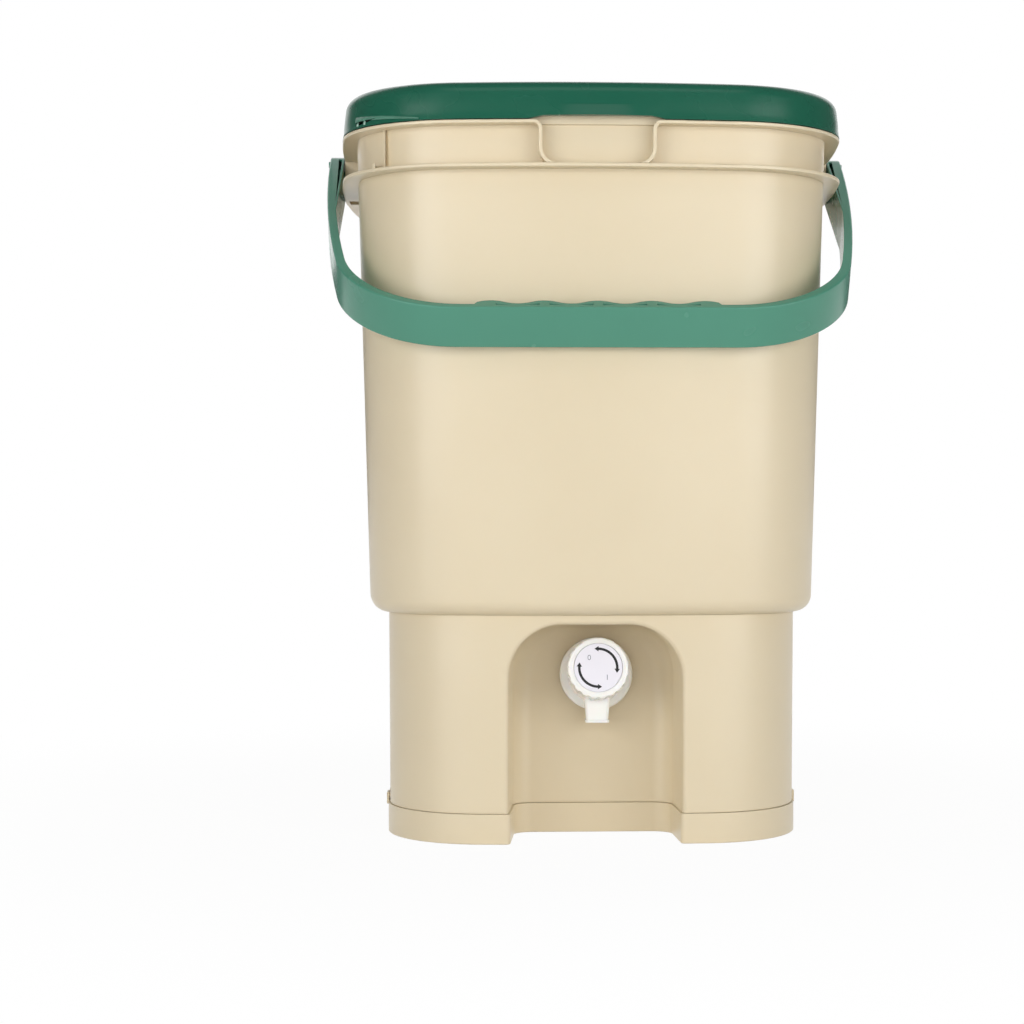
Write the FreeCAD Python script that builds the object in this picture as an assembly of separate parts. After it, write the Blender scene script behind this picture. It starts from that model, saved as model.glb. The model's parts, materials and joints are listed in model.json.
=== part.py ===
import FreeCAD, Part
import math
import os

# Kitchen compost bin with a drain tap, in millimetres, +Z up, front towards -Y.
# The pail, its lid and its bail share one upright axis; the origin is below the
# middle of the whole object with the bail hanging in front.
V = FreeCAD.Vector
X_AXIS = V(1, 0, 0)
Y_AXIS = V(0, 1, 0)
Z_AXIS = V(0, 0, 1)

# Overall sizes
overall_height = 413.0
base_width = 235.0
depth_over_width = 30.0
lower_deeper = 3.0

# Clearances
wrap_gap = 0.2
lift_gap = 0.4
running_gap = 0.08
rest_gap = 0.6
seat_gap = 0.05

# How far cutting shapes reach past what they cut, and the tolerance for finding edges
cut_past = 3.0
find = 1e-3

# Walls of the mouldings
pail_wall = 2.2
lid_wall = 2.2

# Lower part of the pail, and the foot ring that clips round it
ring_height = 16.5
ring_wall = 1.9
ring_floor = 2.0
ring_ledge = 11.0
ring_step = 1.1
ring_foot_round = 0.8
lower_draft = 0.9
lower_corner = 56.0
lower_bow_side = 1500.0
lower_bow_front = 1200.0
clip_width = 9.0
clip_rise = 4.6
clip_root = 2.0
clip_proud = 0.6
clip_round = 0.5
clip_offset = 70.0
clip_catch = 2.6

# Shoulder and upper part of the pail
shoulder_height = 125.0
shoulder_round = 9.0
shoulder_step = 11.3
upper_draft = 8.3
upper_corner = 60.0
corner_growth = 0.5
upper_bow_side = 900.0
upper_bow_front = 650.0
floor_height = 70.0
floor_rib_depth = 12.0
floor_rib_wall = 1.8

# Collar of the pail: two flanges, a finger window and small ribs
collar_reach = 7.9
collar_height = 23.3
low_flange_wall = 2.1
high_flange_wall = 1.9
flange_round = 0.6
window_half_width = 30.7
window_round = 9.5
window_rib = 1.9
window_top_round = 3.0
corner_rib_x = -116.3
corner_rib_wall = 1.5
corner_rib_proud = 1.2
corner_nub_x = -121.8
corner_nub_height = 2.6
rim_step = 1.2
rim_bead_reach = 2.6
rim_bead_height = 3.5

# Ears that carry the bail
ear_half_width = 10.5
ear_wall = 2.4
pivot_rise = 15.0
pin_radius = 4.0
pin_depth = 7.0
ear_slot_depth = 6.0

# Niche for the tap
niche_width = 95.4
niche_height = 119.8
niche_depth = 46.0
niche_splay = 3.0
niche_arch = 29.5
niche_back_round = 12.0
niche_mouth_round = 2.5

# Lid
lid_height = 20.9
lid_gap = 0.4
lid_flare = ((0.0, 0.0), (1.8, 0.35), (4.0, 0.6), (7.5, 0.8))
lid_foot_inset = 0.6
lid_taper = 1.6
lid_edge_round = 7.5
lid_notch_half = 37.0
lid_notch_slope = 8.0
lid_notch_rise = 1.7
grip_lip_half = 33.0
grip_lip_height = 6.0
grip_lip_proud = 1.5
lid_panel_depth = 9.0
lid_rim_width = 13.0
lid_panel_round = 3.0
plug_wall = 2.0
plug_drop = 4.0
gasket_width = 2.6
gasket_height = 3.0
channel_round = 2.7
tear_low = 1.1
tear_rise = 2.4
tear_start_x = -131.4
tear_length = 12.4
tear_bridge_wall = 1.2
tear_bridge_inset = 0.3
tear_bridge_pitch = 4.1
tear_bridges = 2

# Bail: a strap bent in one plane, hanging in front
strap_width = 24.4
strap_wall_arm = 4.7
strap_wall_grip = 3.6
strap_round = 0.9
bail_reach = 191.0
bail_side_gap = 0.6
bail_boss_depth = 8.4
bail_taper = 11.2
bail_corner = 68.0
bail_corner_inner = 66.0
bail_lean = 10.0
bail_boss_length = 70.0
bail_boss_wall = 1.3
bail_boss_tip = 9.0
grip_half = 66.0
grip_ramp = 8.8
grip_peak = 4.3
grip_dip = 0.9
grip_peaks = 5
pocket_length = 8.2
pocket_depth = 9.0
pocket_wall = 1.6
pocket_side = 2.6
nub_radius = 1.9
nub_height = 1.0
nub_offset = 8.5

# Tap
tap_height = 89.6
tap_shift = 2.0
tap_tilt = 11.0
tap_flange_radius = 20.6
tap_flange_wall = 2.6
tap_flange_round = 1.6
tap_cone_back = 16.4
tap_cone_front = 14.6
tap_cone_length = 17.0
tap_cone_bury = 6.0
stem_radius = 10.0
stem_bore = 6.0
stem_hole_gap = 0.4
washer_radius = 17.0
washer_wall = 2.0
nut_across_flats = 30.0
nut_wall = 7.0
nut_chamfer = 1.2
stem_spare = 3.0
plug_radius = 7.0
plug_bore = 4.4
port_radius = 2.8
plug_back = 3.0
o_ring_wire_radius = 0.72
o_ring_groove_half = 0.9
o_ring_from_end = 1.8
spout_top_width = 15.0
spout_bottom_width = 12.4
spout_depth = 13.0
spout_length = 25.9
spout_root = 16.8
spout_forward = 12.0
spout_corner = 2.0
spout_bore = 3.8
lip_wall = 1.4
lip_overhang = 0.5
lip_corner = 2.4
knob_radius = 17.0
knob_length = 13.0
knob_scallops = 20
knob_scallop_radius = 2.6
knob_scallop_depth = 0.6
knob_wall = 2.0
knob_round = 1.6
dial_radius = 13.4
dial_wall = 0.8
dial_sink = 0.5

# Drain grate
grate_wall = 2.0
grate_edge_gap = 0.8
grate_rim = 6.0
grate_rim_wall = 1.8
grate_hole_radius = 2.5
grate_web = 1.0
grate_pitch = 14.0
grate_columns = 15
grate_rows = 17
grate_knob_radius = 8.0
grate_knob_foot_radius = 5.6
grate_knob_round = 1.5
grate_knob_height = 16.0

# Heights that follow from the top down
rim_top = overall_height - lid_wall - gasket_height
lid_bottom = overall_height - lid_height
high_flange_height = lid_bottom - lid_gap - high_flange_wall
low_flange_height = high_flange_height - collar_height
pivot_height = low_flange_height + pivot_rise

# Half sizes of the pail's outlines, from bottom to top, and of the bail round them
ring_half = base_width / 2
lower_half = ring_half - ring_step
lower_half_top = lower_half + lower_draft
upper_half = lower_half_top + shoulder_step
upper_half_top = upper_half + upper_draft
collar_half = upper_half_top + collar_reach
bail_inner_half = collar_half + bail_side_gap
bail_pivot_half = bail_inner_half + bail_boss_depth
bail_shoulder_half = bail_pivot_half - bail_taper
plan_extra = depth_over_width / 2
pail_front = lower_half + plan_extra + lower_deeper
wall_front = pail_front - niche_depth
far_front = -collar_half - plan_extra - cut_past
strap_half = strap_width / 2


def outline(half, corner, bow_side, bow_front, z, deeper=0.0):
    """Closed rounded rectangle with bowed sides, as eight tangent arcs."""
    half_x, half_y = half, half + plan_extra + deeper
    # centre of the corner arc, tangent inside both side arcs
    side_x, front_y = half_x - bow_side, half_y - bow_front
    reach_side, reach_front = bow_side - corner, bow_front - corner
    span = math.hypot(side_x, front_y)
    along = (reach_side ** 2 - reach_front ** 2 + span ** 2) / (2 * span)
    across = math.sqrt(reach_side ** 2 - along ** 2)
    dir_x, dir_y = -side_x / span, front_y / span
    centre_x = side_x + along * dir_x - across * dir_y
    centre_y = along * dir_y + across * dir_x
    side_span = math.hypot(centre_x - side_x, centre_y)
    front_span = math.hypot(centre_x, centre_y - front_y)
    side_end = (side_x + (centre_x - side_x) * bow_side / side_span,
                centre_y * bow_side / side_span)
    front_end = (centre_x * bow_front / front_span,
                 front_y + (centre_y - front_y) * bow_front / front_span)
    turn = math.atan2(side_end[1] - centre_y, side_end[0] - centre_x)
    turn += math.atan2(front_end[1] - centre_y, front_end[0] - centre_x)
    middle = (centre_x + corner * math.cos(turn / 2), centre_y + corner * math.sin(turn / 2))
    quarter = [side_end, middle, front_end]
    mirror = [(-x, y) for x, y in reversed(quarter)]
    rest = [(-x, -y) for x, y in quarter]
    last = [(x, -y) for x, y in reversed(quarter)]
    corners = [quarter, mirror, rest, last]
    middles = [(0, half_y), (-half_x, 0), (0, -half_y), (half_x, 0)]
    edges = []
    for index in range(4):
        first, through, end = [V(x, y, z) for x, y in corners[index]]
        following = V(*corners[(index + 1) % 4][0], z)
        between = V(*middles[index], z)
        edges.append(Part.Arc(first, through, end).toShape())
        edges.append(Part.Arc(end, between, following).toShape())
    return Part.Wire(edges)


def lower_outline(offset, z, widening=0.0):
    """Outline of the pail below its shoulder, moved outwards by offset."""
    half = lower_half + widening + offset
    return outline(half, lower_corner + offset, lower_bow_side + offset,
                   lower_bow_front + offset, z, lower_deeper)


def upper_outline(offset, z, widening=0.0):
    """Outline of the pail above its shoulder, moved outwards by offset."""
    half = upper_half + widening + offset
    corner = upper_corner + widening * corner_growth + offset
    return outline(half, corner, upper_bow_side + offset, upper_bow_front + offset, z)


def collar_outline(offset, z):
    """Outline of the flanges and of the lid's skirt, moved outwards by offset."""
    return upper_outline(collar_reach + offset, z, upper_draft)


def loft(wires):
    """Closed solid with straight walls through the given wires."""
    return Part.makeLoft(wires, True, True)


def slab(wire, height):
    """Upright solid of constant section."""
    return Part.Face(wire).extrude(V(0, 0, height))


def box(low, high):
    """Box between two opposite corners."""
    return Part.makeBox(high[0] - low[0], high[1] - low[1], high[2] - low[2], V(*low))


def round_edges(solid, radius, chosen):
    """Fillet the edges for which chosen(edge) is true."""
    edges = [edge for edge in solid.Edges if chosen(edge)]
    return solid.makeFillet(radius, edges)


def at_height(z):
    """Test for edges that lie wholly at one height."""
    def chosen(edge):
        bounds = edge.BoundBox
        return abs(bounds.ZMin - z) < find and abs(bounds.ZMax - z) < find
    return chosen


def lower_widening(z):
    """How far the lower wall has spread at height z."""
    return lower_draft * z / shoulder_height


def upper_widening(z):
    """How far the upper wall has spread at height z."""
    return upper_draft * (z - shoulder_height) / (rim_top - shoulder_height)


def arch_face(half, top, bend, foot, y):
    """Upright face that stands on foot and has both upper corners rounded."""
    lean = bend * (1 - math.sqrt(0.5))
    towards = 1 if top > foot else -1
    shoulder = top - towards * bend
    corner = top - towards * lean
    points = [V(-half, y, foot), V(-half, y, shoulder), V(-half + bend, y, top),
              V(half - bend, y, top), V(half, y, shoulder), V(half, y, foot)]
    edges = [Part.makeLine(points[0], points[1]),
             Part.Arc(points[1], V(-half + lean, y, corner), points[2]).toShape(),
             Part.makeLine(points[2], points[3]),
             Part.Arc(points[3], V(half - lean, y, corner), points[4]).toShape(),
             Part.makeLine(points[4], points[5]),
             Part.makeLine(points[5], points[0])]
    return Part.Face(Part.Wire(edges))


def niche(offset):
    """Space of the tap's niche, grown by offset on its sides, top and back."""
    back = -wall_front + offset
    wires = []
    for y in (far_front, back):
        half = niche_width / 2 + offset - niche_splay * (y + pail_front) / niche_depth
        face = arch_face(half, niche_height + offset, niche_arch + offset, -cut_past, y)
        wires.append(face.OuterWire)
    solid = loft(wires)

    def at_back(edge):
        bounds = edge.BoundBox
        flat = abs(bounds.YMin - back) < find and abs(bounds.YMax - back) < find
        return flat and not at_height(-cut_past)(edge)
    return round_edges(solid, niche_back_round + offset, at_back)


def at_mouth(offset):
    """Test for the edges where the niche, grown by offset, opens in the front wall."""
    half = (niche_width + niche_mouth_round) / 2 + offset

    def chosen(edge):
        bounds = edge.BoundBox
        within = bounds.XMin > -half and bounds.XMax < half
        front = bounds.YMax < -pail_front + niche_mouth_round
        upright = bounds.ZLength > cut_past or at_height(niche_height + offset)(edge)
        return within and front and upright
    return chosen


def window(offset, low, high):
    """U-shaped prism of the finger window, grown by offset, open to the front."""
    face = arch_face(window_half_width + offset, low - offset, window_round + offset, high,
                     far_front)
    return face.extrude(V(0, -far_front - upper_half, 0))


def window_corners(top):
    """Sharp corners above the bends where the funnel turns into the upper flange."""
    bend = window_top_round + window_rib
    inner = window_half_width - window_rib / 2
    corners = []
    for side in (-1, 1):
        reach = sorted([side * (inner - cut_past), side * (inner + bend)])
        block = box((reach[0], far_front, top - bend), (reach[1], -upper_half, top + cut_past))
        corners.append(block.cut(Part.makeCylinder(bend, -far_front,
                                                   V(side * (inner + bend), far_front, top - bend),
                                                   Y_AXIS)))
    return corners


def rounded_plate(low, wall):
    """Plate of a flange's outline with rounded edges."""
    plate = slab(collar_outline(0, low), wall)
    return round_edges(plate, flange_round,
                       lambda edge: at_height(low)(edge) or at_height(low + wall)(edge))


def collar():
    """Flanges, finger window, ears and corner ribs, still solid inside."""
    top = high_flange_height + high_flange_wall
    zone = slab(collar_outline(0, low_flange_height), top - low_flange_height)
    low_flange = slab(collar_outline(0, low_flange_height), low_flange_wall)
    high_flange = slab(collar_outline(0, high_flange_height), high_flange_wall)
    middle = low_flange_height + low_flange_wall / 2
    half_rib = window_rib / 2
    opening = window(-half_rib, middle, top)
    funnel = window(half_rib, middle, top).cut(opening)
    solid = low_flange.fuse([high_flange.cut(opening), funnel])
    outside = window_half_width + half_rib

    def at_funnel_top(edge):
        bounds = edge.BoundBox
        beside = abs(abs(bounds.XMin) - outside) < find and abs(abs(bounds.XMax) - outside) < find
        return beside and at_height(high_flange_height)(edge)
    solid = round_edges(solid.common(zone).removeSplitter(), window_top_round, at_funnel_top)
    solid = solid.cut(window_corners(top))
    between = low_flange_height + low_flange_wall
    rounded = rounded_plate(low_flange_height, low_flange_wall).fuse(
        [slab(collar_outline(0, between), high_flange_height - between),
         rounded_plate(high_flange_height, high_flange_wall)])
    solid = solid.common(rounded)
    rib_zone = slab(upper_outline(corner_rib_proud, low_flange_height, upper_draft),
                    top - low_flange_height)
    rib = box((corner_rib_x, far_front, low_flange_height),
              (corner_rib_x + corner_rib_wall, 0, top)).common(rib_zone)
    nub_top = low_flange_height + low_flange_wall + corner_nub_height
    nub = box((corner_nub_x, far_front, low_flange_height),
              (corner_nub_x + corner_rib_wall, 0, nub_top))
    ears = box((-collar_half, -ear_half_width, low_flange_height),
               (collar_half, ear_half_width, top))
    return solid.fuse([part.common(zone) for part in (rib, nub, ears)])


def ear_cuts():
    """Pivot bores and the slots below them, open through the lower flange."""
    cuts = []
    for side in (-1, 1):
        face = side * (collar_half + cut_past)
        bore = Part.makeCylinder(pin_radius + running_gap, pin_depth + lift_gap + cut_past,
                                 V(face, 0, pivot_height), V(-side, 0, 0))
        outer = side * (collar_half - ear_wall)
        inner = side * (collar_half - ear_wall - ear_slot_depth)
        roof = pivot_height - pin_radius - ear_wall
        half = ear_half_width - ear_wall
        slot = box((min(inner, outer), -half, low_flange_height - cut_past),
                   (max(inner, outer), half, roof))
        cuts += [bore, slot]
    return cuts


def clip_places():
    """Side and place along Y of each clip of the foot ring."""
    return [(side, along) for side in (-1, 1) for along in (-clip_offset, clip_offset)]


def side_at(half, along):
    """Half width of the lower pail at a place along its bowed side."""
    return half - lower_bow_side + math.sqrt(lower_bow_side ** 2 - along ** 2)


def clip_slots():
    """Windows in the pail's skirt that the clips snap into."""
    slots = []
    low = ring_height + clip_rise - clip_catch - wrap_gap
    for side, along in clip_places():
        inner = side * (lower_half - pail_wall - cut_past)
        outer = side * (lower_half + cut_past)
        half = clip_width / 2 - wrap_gap
        slots.append(box((min(inner, outer), along - half, low),
                         (max(inner, outer), along + half, low + clip_catch)))
    return slots


def floor_ribs(cavity):
    """Crossed ribs that stiffen the raised floor from below."""
    half = floor_rib_wall / 2
    top = floor_height - pail_wall
    low = top - floor_rib_depth
    reach = ring_half + plan_extra + lower_deeper
    along_x = box((-reach, -half, low), (reach, half, top))
    along_y = box((-half, -reach, low), (half, reach, top))
    return along_x.fuse(along_y).common(cavity)


def bucket():
    """The pail: one moulding from the skirt to the rim."""
    shoulder_widening = lower_widening(shoulder_height)
    ring_line = ring_height + wrap_gap
    overlap = shoulder_round + pail_wall
    lower = loft([lower_outline(0, ring_line, lower_widening(ring_line)),
                  lower_outline(0, shoulder_height + overlap, shoulder_widening)])
    hollow = niche(0)
    lower = round_edges(lower.cut(hollow), niche_mouth_round, at_mouth(0))
    foot = slab(lower_outline(-ring_wall + ring_step - wrap_gap, ring_floor),
                ring_line - ring_floor)
    upper = loft([upper_outline(0, shoulder_height),
                  upper_outline(0, rim_top, upper_draft)])
    upper = round_edges(upper, shoulder_round, at_height(shoulder_height))
    rim_height = rim_top - high_flange_height
    rim = slab(upper_outline(rim_step, high_flange_height, upper_draft), rim_height)
    bead_low = rim_top - rim_bead_height
    bead = slab(upper_outline(rim_bead_reach, bead_low, upper_draft), rim_bead_height)
    outer = lower.fuse([foot, upper, rim, bead, collar()])

    mouth = rim_top + cut_past
    cavity = loft([upper_outline(-pail_wall, shoulder_height + pail_wall,
                                 upper_widening(shoulder_height + pail_wall)),
                   upper_outline(-pail_wall, mouth, upper_widening(mouth))])
    cavity = round_edges(cavity, shoulder_round - pail_wall,
                         at_height(shoulder_height + pail_wall))
    sump = loft([lower_outline(-pail_wall, floor_height, lower_widening(floor_height)),
                 lower_outline(-pail_wall, shoulder_height + overlap, shoulder_widening)])
    under_top = floor_height - pail_wall
    under = loft([lower_outline(-pail_wall, ring_line - pail_wall, lower_widening(ring_line)),
                  lower_outline(-pail_wall, under_top, lower_widening(under_top))])
    inset = ring_wall - ring_step + wrap_gap
    under_foot = slab(lower_outline(-pail_wall - inset, 0), ring_line)
    wrapped = niche(pail_wall)
    inside = cavity.fuse(sump).cut(wrapped)
    below = under.fuse(under_foot).cut(wrapped)
    ribs = floor_ribs(below)
    foot_zone = slab(lower_outline(cut_past, 0), ring_line - pail_wall)
    below = below.cut(niche(pail_wall + inset).common(foot_zone))
    foot_recess = niche(inset).common(slab(lower_outline(cut_past, 0), ring_line))
    stem_hole = Part.makeCylinder(stem_radius + stem_hole_gap, pail_wall + 2 * cut_past,
                                  V(tap_shift, -wall_front - cut_past, tap_height), Y_AXIS)
    body = outer.cut([inside, below, hollow, foot_recess, stem_hole] + ear_cuts() + clip_slots())
    return body.fuse(ribs).removeSplitter()


def bucket_pieces():
    """The pail parted at its two ledges, where the moulding's outside has a sharp corner."""
    whole = bucket()
    levels = [0, shoulder_height, low_flange_height, overall_height]
    names = ["bucket_base", "bucket_wall", "bucket_collar"]
    pieces = {}
    for name, low, high in zip(names, levels, levels[1:]):
        zone = box((far_front, far_front, low), (-far_front, -far_front, high))
        pieces[name] = whole.common(zone)
    return pieces


def ring_section(offset, z, height):
    """Slab of the foot ring's plan, grown by offset from the skirt's outside."""
    return slab(lower_outline(offset, z), height).cut(niche(-offset))


def base_ring():
    """Foot ring: a band with an inner ledge, and clips up its sides."""
    step = ring_wall - ring_step + wrap_gap
    band = ring_section(ring_step, 0, ring_height)
    seat = ring_section(wrap_gap - step, ring_floor, ring_height)
    hole = ring_section(-ring_ledge, -cut_past, ring_height)
    ring = band.cut([seat, hole])
    ring = round_edges(ring, niche_mouth_round, at_mouth(-ring_step))
    ring = round_edges(ring, ring_foot_round, at_height(0))
    clips = []
    for side, along in clip_places():
        half = clip_width / 2
        near = abs(along) - half
        inner = side * (side_at(lower_half + lower_widening(ring_height), near) + wrap_gap)
        outer = side * (side_at(ring_half, near) + clip_proud)
        top = ring_height + clip_rise
        low = ring_height - clip_root
        tongue = box((min(inner, outer), along - half, low), (max(inner, outer), along + half, top))

        def at_outside(edge, place=outer):
            bounds = edge.BoundBox
            return abs(bounds.XMin - place) < find and abs(bounds.XMax - place) < find
        tongue = round_edges(tongue, clip_round, at_outside)
        tip = side * (side_at(lower_half, near) - pail_wall / 2)
        root = side * side_at(ring_half, near)
        catch = box((min(tip, root), along - half + 2 * wrap_gap, top - clip_catch + wrap_gap),
                    (max(tip, root), along + half - 2 * wrap_gap, top - 2 * wrap_gap))
        clips += [tongue, catch]
    return ring.fuse(clips).removeSplitter()


def tear_cut():
    """Tapered slot above the lid's tear strip, less the bridges that still hold it."""
    low = lid_bottom + tear_low
    high = low + tear_rise
    corners = [V(tear_start_x, far_front, low), V(tear_start_x, far_front, high),
               V(tear_start_x + tear_length, far_front, high)]
    slot = Part.Face(Part.makePolygon(corners + corners[:1])).extrude(V(0, -far_front, 0))
    kept = [slab(collar_outline(-collar_reach, lid_bottom), lid_height)]
    for index in range(tear_bridges):
        left = tear_start_x + tear_bridge_inset + index * tear_bridge_pitch
        kept.append(box((left, far_front, low), (left + tear_bridge_wall, 0, high)))
    return slot.cut(kept)


def lid_notch():
    """Space above the finger window where the lid's foot is cut short, with sloping ends."""
    high = lid_bottom + lid_notch_rise
    top_half = lid_notch_half - lid_notch_slope
    bottom_half = lid_notch_half + lid_notch_slope * cut_past / lid_notch_rise
    corners = [V(-bottom_half, far_front, lid_bottom - cut_past), V(-top_half, far_front, high),
               V(top_half, far_front, high), V(bottom_half, far_front, lid_bottom - cut_past)]
    return Part.Face(Part.makePolygon(corners + corners[:1])).extrude(V(0, -far_front, 0))


def grip_lip():
    """Lip above the notch that flares out to its middle, for the fingers to lift the lid by."""
    low = lid_bottom + lid_notch_rise
    front = -collar_half - plan_extra
    bow = upper_bow_front + collar_reach + upper_draft
    end = front + bow - math.sqrt(bow ** 2 - grip_lip_half ** 2) + lid_foot_inset + lid_wall / 4
    wires = []
    for proud, z in ((grip_lip_proud, low), (-lid_foot_inset, low + grip_lip_height)):
        left, right = V(-grip_lip_half, end, z), V(grip_lip_half, end, z)
        back = V(0, end + lid_wall / 4, z)
        wires.append(Part.Wire([Part.Arc(left, V(0, front - proud, z), right).toShape(),
                                Part.makeLine(right, back), Part.makeLine(back, left)]))
    return loft(wires)


def lid():
    """Lid: skirt with a flared foot, rounded edge, sunk panel and an inner plug."""
    wires = [collar_outline(-inset, lid_bottom + rise) for rise, inset in lid_flare]
    wires.append(collar_outline(-lid_foot_inset - lid_taper, overall_height))
    skirt = round_edges(loft(wires), lid_edge_round, at_height(overall_height))
    outer = skirt.cut(lid_notch()).fuse(grip_lip())
    panel_top = overall_height - lid_panel_depth
    recess = slab(collar_outline(-lid_rim_width, panel_top), lid_panel_depth + cut_past)
    recess = round_edges(recess, lid_panel_round, at_height(panel_top))
    inner = -lid_foot_inset - lid_wall
    ceiling = overall_height - lid_wall
    channel = loft([collar_outline(inner, lid_bottom - cut_past),
                    collar_outline(inner - lid_taper, ceiling)])
    channel = round_edges(channel, channel_round, at_height(ceiling))
    plug_outer = -collar_reach - pail_wall - 2 * lift_gap
    panel_low = panel_top - lid_wall
    plug_low = panel_low - plug_drop
    plug = slab(collar_outline(plug_outer, plug_low), ceiling - plug_low + lid_wall / 2)
    pocket = slab(collar_outline(plug_outer - plug_wall, plug_low - cut_past),
                  panel_low - plug_low + cut_past)
    body = outer.cut(channel).fuse(plug).cut([pocket, recess])
    return body.cut(tear_cut()).removeSplitter()


def lid_gasket():
    """Seal between the pail's rim and the lid's channel."""
    inner = lift_gap - pail_wall
    outer = slab(upper_outline(inner + gasket_width, rim_top, upper_draft), gasket_height)
    bore = slab(upper_outline(inner, rim_top - cut_past, upper_draft),
                gasket_height + 2 * cut_past)
    return outer.cut(bore)


def bail_corner_centre(reach, shoulder_half, corner):
    """Centre of the right-hand corner where the arm meets the grip."""
    lean = math.radians(bail_lean)
    return V(shoulder_half - corner * math.cos(lean), reach - corner, 0)


def bail_arm(reach, pivot_half, shoulder_half, corner):
    """Gently bowed right-hand arm: the end at its corner, and a rule for X at a given Y."""
    lean = math.radians(bail_lean)
    outward = V(math.cos(lean), math.sin(lean), 0)
    end = bail_corner_centre(reach, shoulder_half, corner) + outward * corner
    chord = V(pivot_half, 0, 0) - end
    bend = lean - math.atan2(chord.x, -chord.y)
    radius = chord.Length / (2 * math.sin(bend))
    centre = end - outward * radius

    def arm_x(y):
        return centre.x + math.sqrt(radius ** 2 - (y - centre.y) ** 2)
    return end, arm_x


def bail_profile(reach, pivot_half, shoulder_half, corner):
    """U-shaped line of the strap in its own plane: X across, Y away from the pivot."""
    centre = bail_corner_centre(reach, shoulder_half, corner)
    end, arm_x = bail_arm(reach, pivot_half, shoulder_half, corner)
    past = -strap_half - cut_past
    between = (end.y + past) / 2
    turn = (math.pi / 2 + math.radians(bail_lean)) / 2
    edges = []
    ends = {}
    for side in (-1, 1):
        def placed(x, y):
            return V(side * x, y, 0)
        top = placed(centre.x, centre.y + corner)
        through = placed(centre.x + corner * math.cos(turn), centre.y + corner * math.sin(turn))
        foot = placed(end.x, end.y)
        last = placed(arm_x(past), past)
        edges.append(Part.Arc(top, through, foot).toShape())
        edges.append(Part.Arc(foot, placed(arm_x(between), between), last).toShape())
        ends[side] = (top, last)
    edges.append(Part.makeLine(ends[-1][0], ends[1][0]))
    edges.append(Part.makeLine(ends[-1][1], ends[1][1]))
    return Part.Wire(Part.__sortEdges__(edges))


def bail_slab(wire, low, high):
    """Slab of a profile in the bail's plane."""
    solid = Part.Face(wire).extrude(V(0, 0, high - low))
    solid.translate(V(0, 0, low))
    return solid


def bail_grip():
    """Wavy inner side of the grip, with its pockets cut from both edges."""
    inner = bail_reach - strap_wall_grip
    pitch = 2 * (grip_half - grip_ramp) / (grip_peaks - 1)
    peaks = [(index - (grip_peaks - 1) / 2) * pitch for index in range(grip_peaks)]
    level = inner - (grip_peak + grip_dip) / 2
    edges = []
    last = V(-grip_half, inner, 0)
    for index, place in enumerate(peaks):
        start = V(place - pitch / 4, level, 0)
        end = V(place + pitch / 4, level, 0)
        if index == 0:
            edges.append(Part.makeLine(last, start))
        else:
            dip = V(place - pitch / 2, inner - grip_dip, 0)
            edges.append(Part.Arc(last, dip, start).toShape())
        edges.append(Part.Arc(start, V(place, inner - grip_peak, 0), end).toShape())
        last = end
    corners = [last, V(grip_half, inner, 0), V(grip_half, inner + strap_wall_grip / 2, 0),
               V(-grip_half, inner + strap_wall_grip / 2, 0), V(-grip_half, inner, 0)]
    for start, end in zip(corners, corners[1:]):
        edges.append(Part.makeLine(start, end))
    solid = bail_slab(Part.Wire(edges), -strap_half, strap_half)
    return solid, bail_pockets(peaks, pitch, inner)


def bail_pockets(peaks, pitch, inner):
    """Lens-shaped pockets on both sides of each dip of the grip."""
    cuts = []
    shift = pitch / 2 - pocket_length / 2 - pocket_side
    for place in peaks[:-1]:
        for side in (-1, 1):
            middle = place + pitch / 2 + side * shift
            near = V(middle - side * pocket_length / 2, inner + pocket_wall - grip_dip, 0)
            far = V(middle + side * pocket_length / 2, inner + pocket_wall - grip_dip, 0)
            lift = V(middle + side * pocket_length / 2, inner - grip_peak + 2 * pocket_wall, 0)
            wire = Part.makePolygon([near, far, lift, near])
            for low, high in ((-strap_half - cut_past, -strap_half + pocket_depth),
                              (strap_half - pocket_depth, strap_half + cut_past)):
                cuts.append(bail_slab(wire, low, high))
    return cuts


def bail_inner_line():
    """Sizes of the strap's inner line: reach, half widths and corner."""
    return (bail_reach - strap_wall_grip, bail_pivot_half - strap_wall_arm,
            bail_shoulder_half - strap_wall_arm, bail_corner_inner)


def bail_bosses():
    """Hollow wedge inside each arm's end, that carries the pivot pin."""
    arm_x = bail_arm(*bail_inner_line())[1]
    end = -strap_half - cut_past
    merge = bail_boss_length
    tip = merge - bail_boss_tip
    wall = bail_boss_wall
    half_arm = strap_wall_arm / 2
    core = Part.makeCylinder(pin_radius + wall, 2 * bail_pivot_half,
                             V(-bail_pivot_half, 0, 0), X_AXIS)
    outline_points = [(arm_x(0) + half_arm, end), (bail_inner_half, end),
                      (bail_inner_half, strap_half), (arm_x(merge), merge),
                      (arm_x(merge) + half_arm, merge)]
    pocket_points = [(arm_x(0), end), (bail_inner_half + wall, end),
                     (bail_inner_half + wall, strap_half), (arm_x(tip), tip)]
    within = bail_zone(wall)
    solids = []
    cuts = []
    for side in (-1, 1):
        points = [V(side * x, y, 0) for x, y in outline_points]
        solids.append(bail_slab(Part.makePolygon(points + points[:1]), -strap_half, strap_half))
        points = [V(side * x, y, 0) for x, y in pocket_points]
        hollow = bail_slab(Part.makePolygon(points + points[:1]), -strap_half - cut_past,
                           strap_half + cut_past)
        cuts.append(hollow.common(within).cut(core))
    return solids, cuts


def bail_zone(end_wall=0.0):
    """Space of the strap's width with round ends about the pivots, less a wall round the ends."""
    wide = 2 * bail_pivot_half
    half = strap_half + (cut_past if end_wall else 0)
    ends = Part.makeCylinder(strap_half - end_wall, 2 * wide, V(-wide, 0, 0), X_AXIS)
    return ends.fuse(box((-wide, 0, -half), (wide, 2 * bail_reach, half)))


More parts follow.
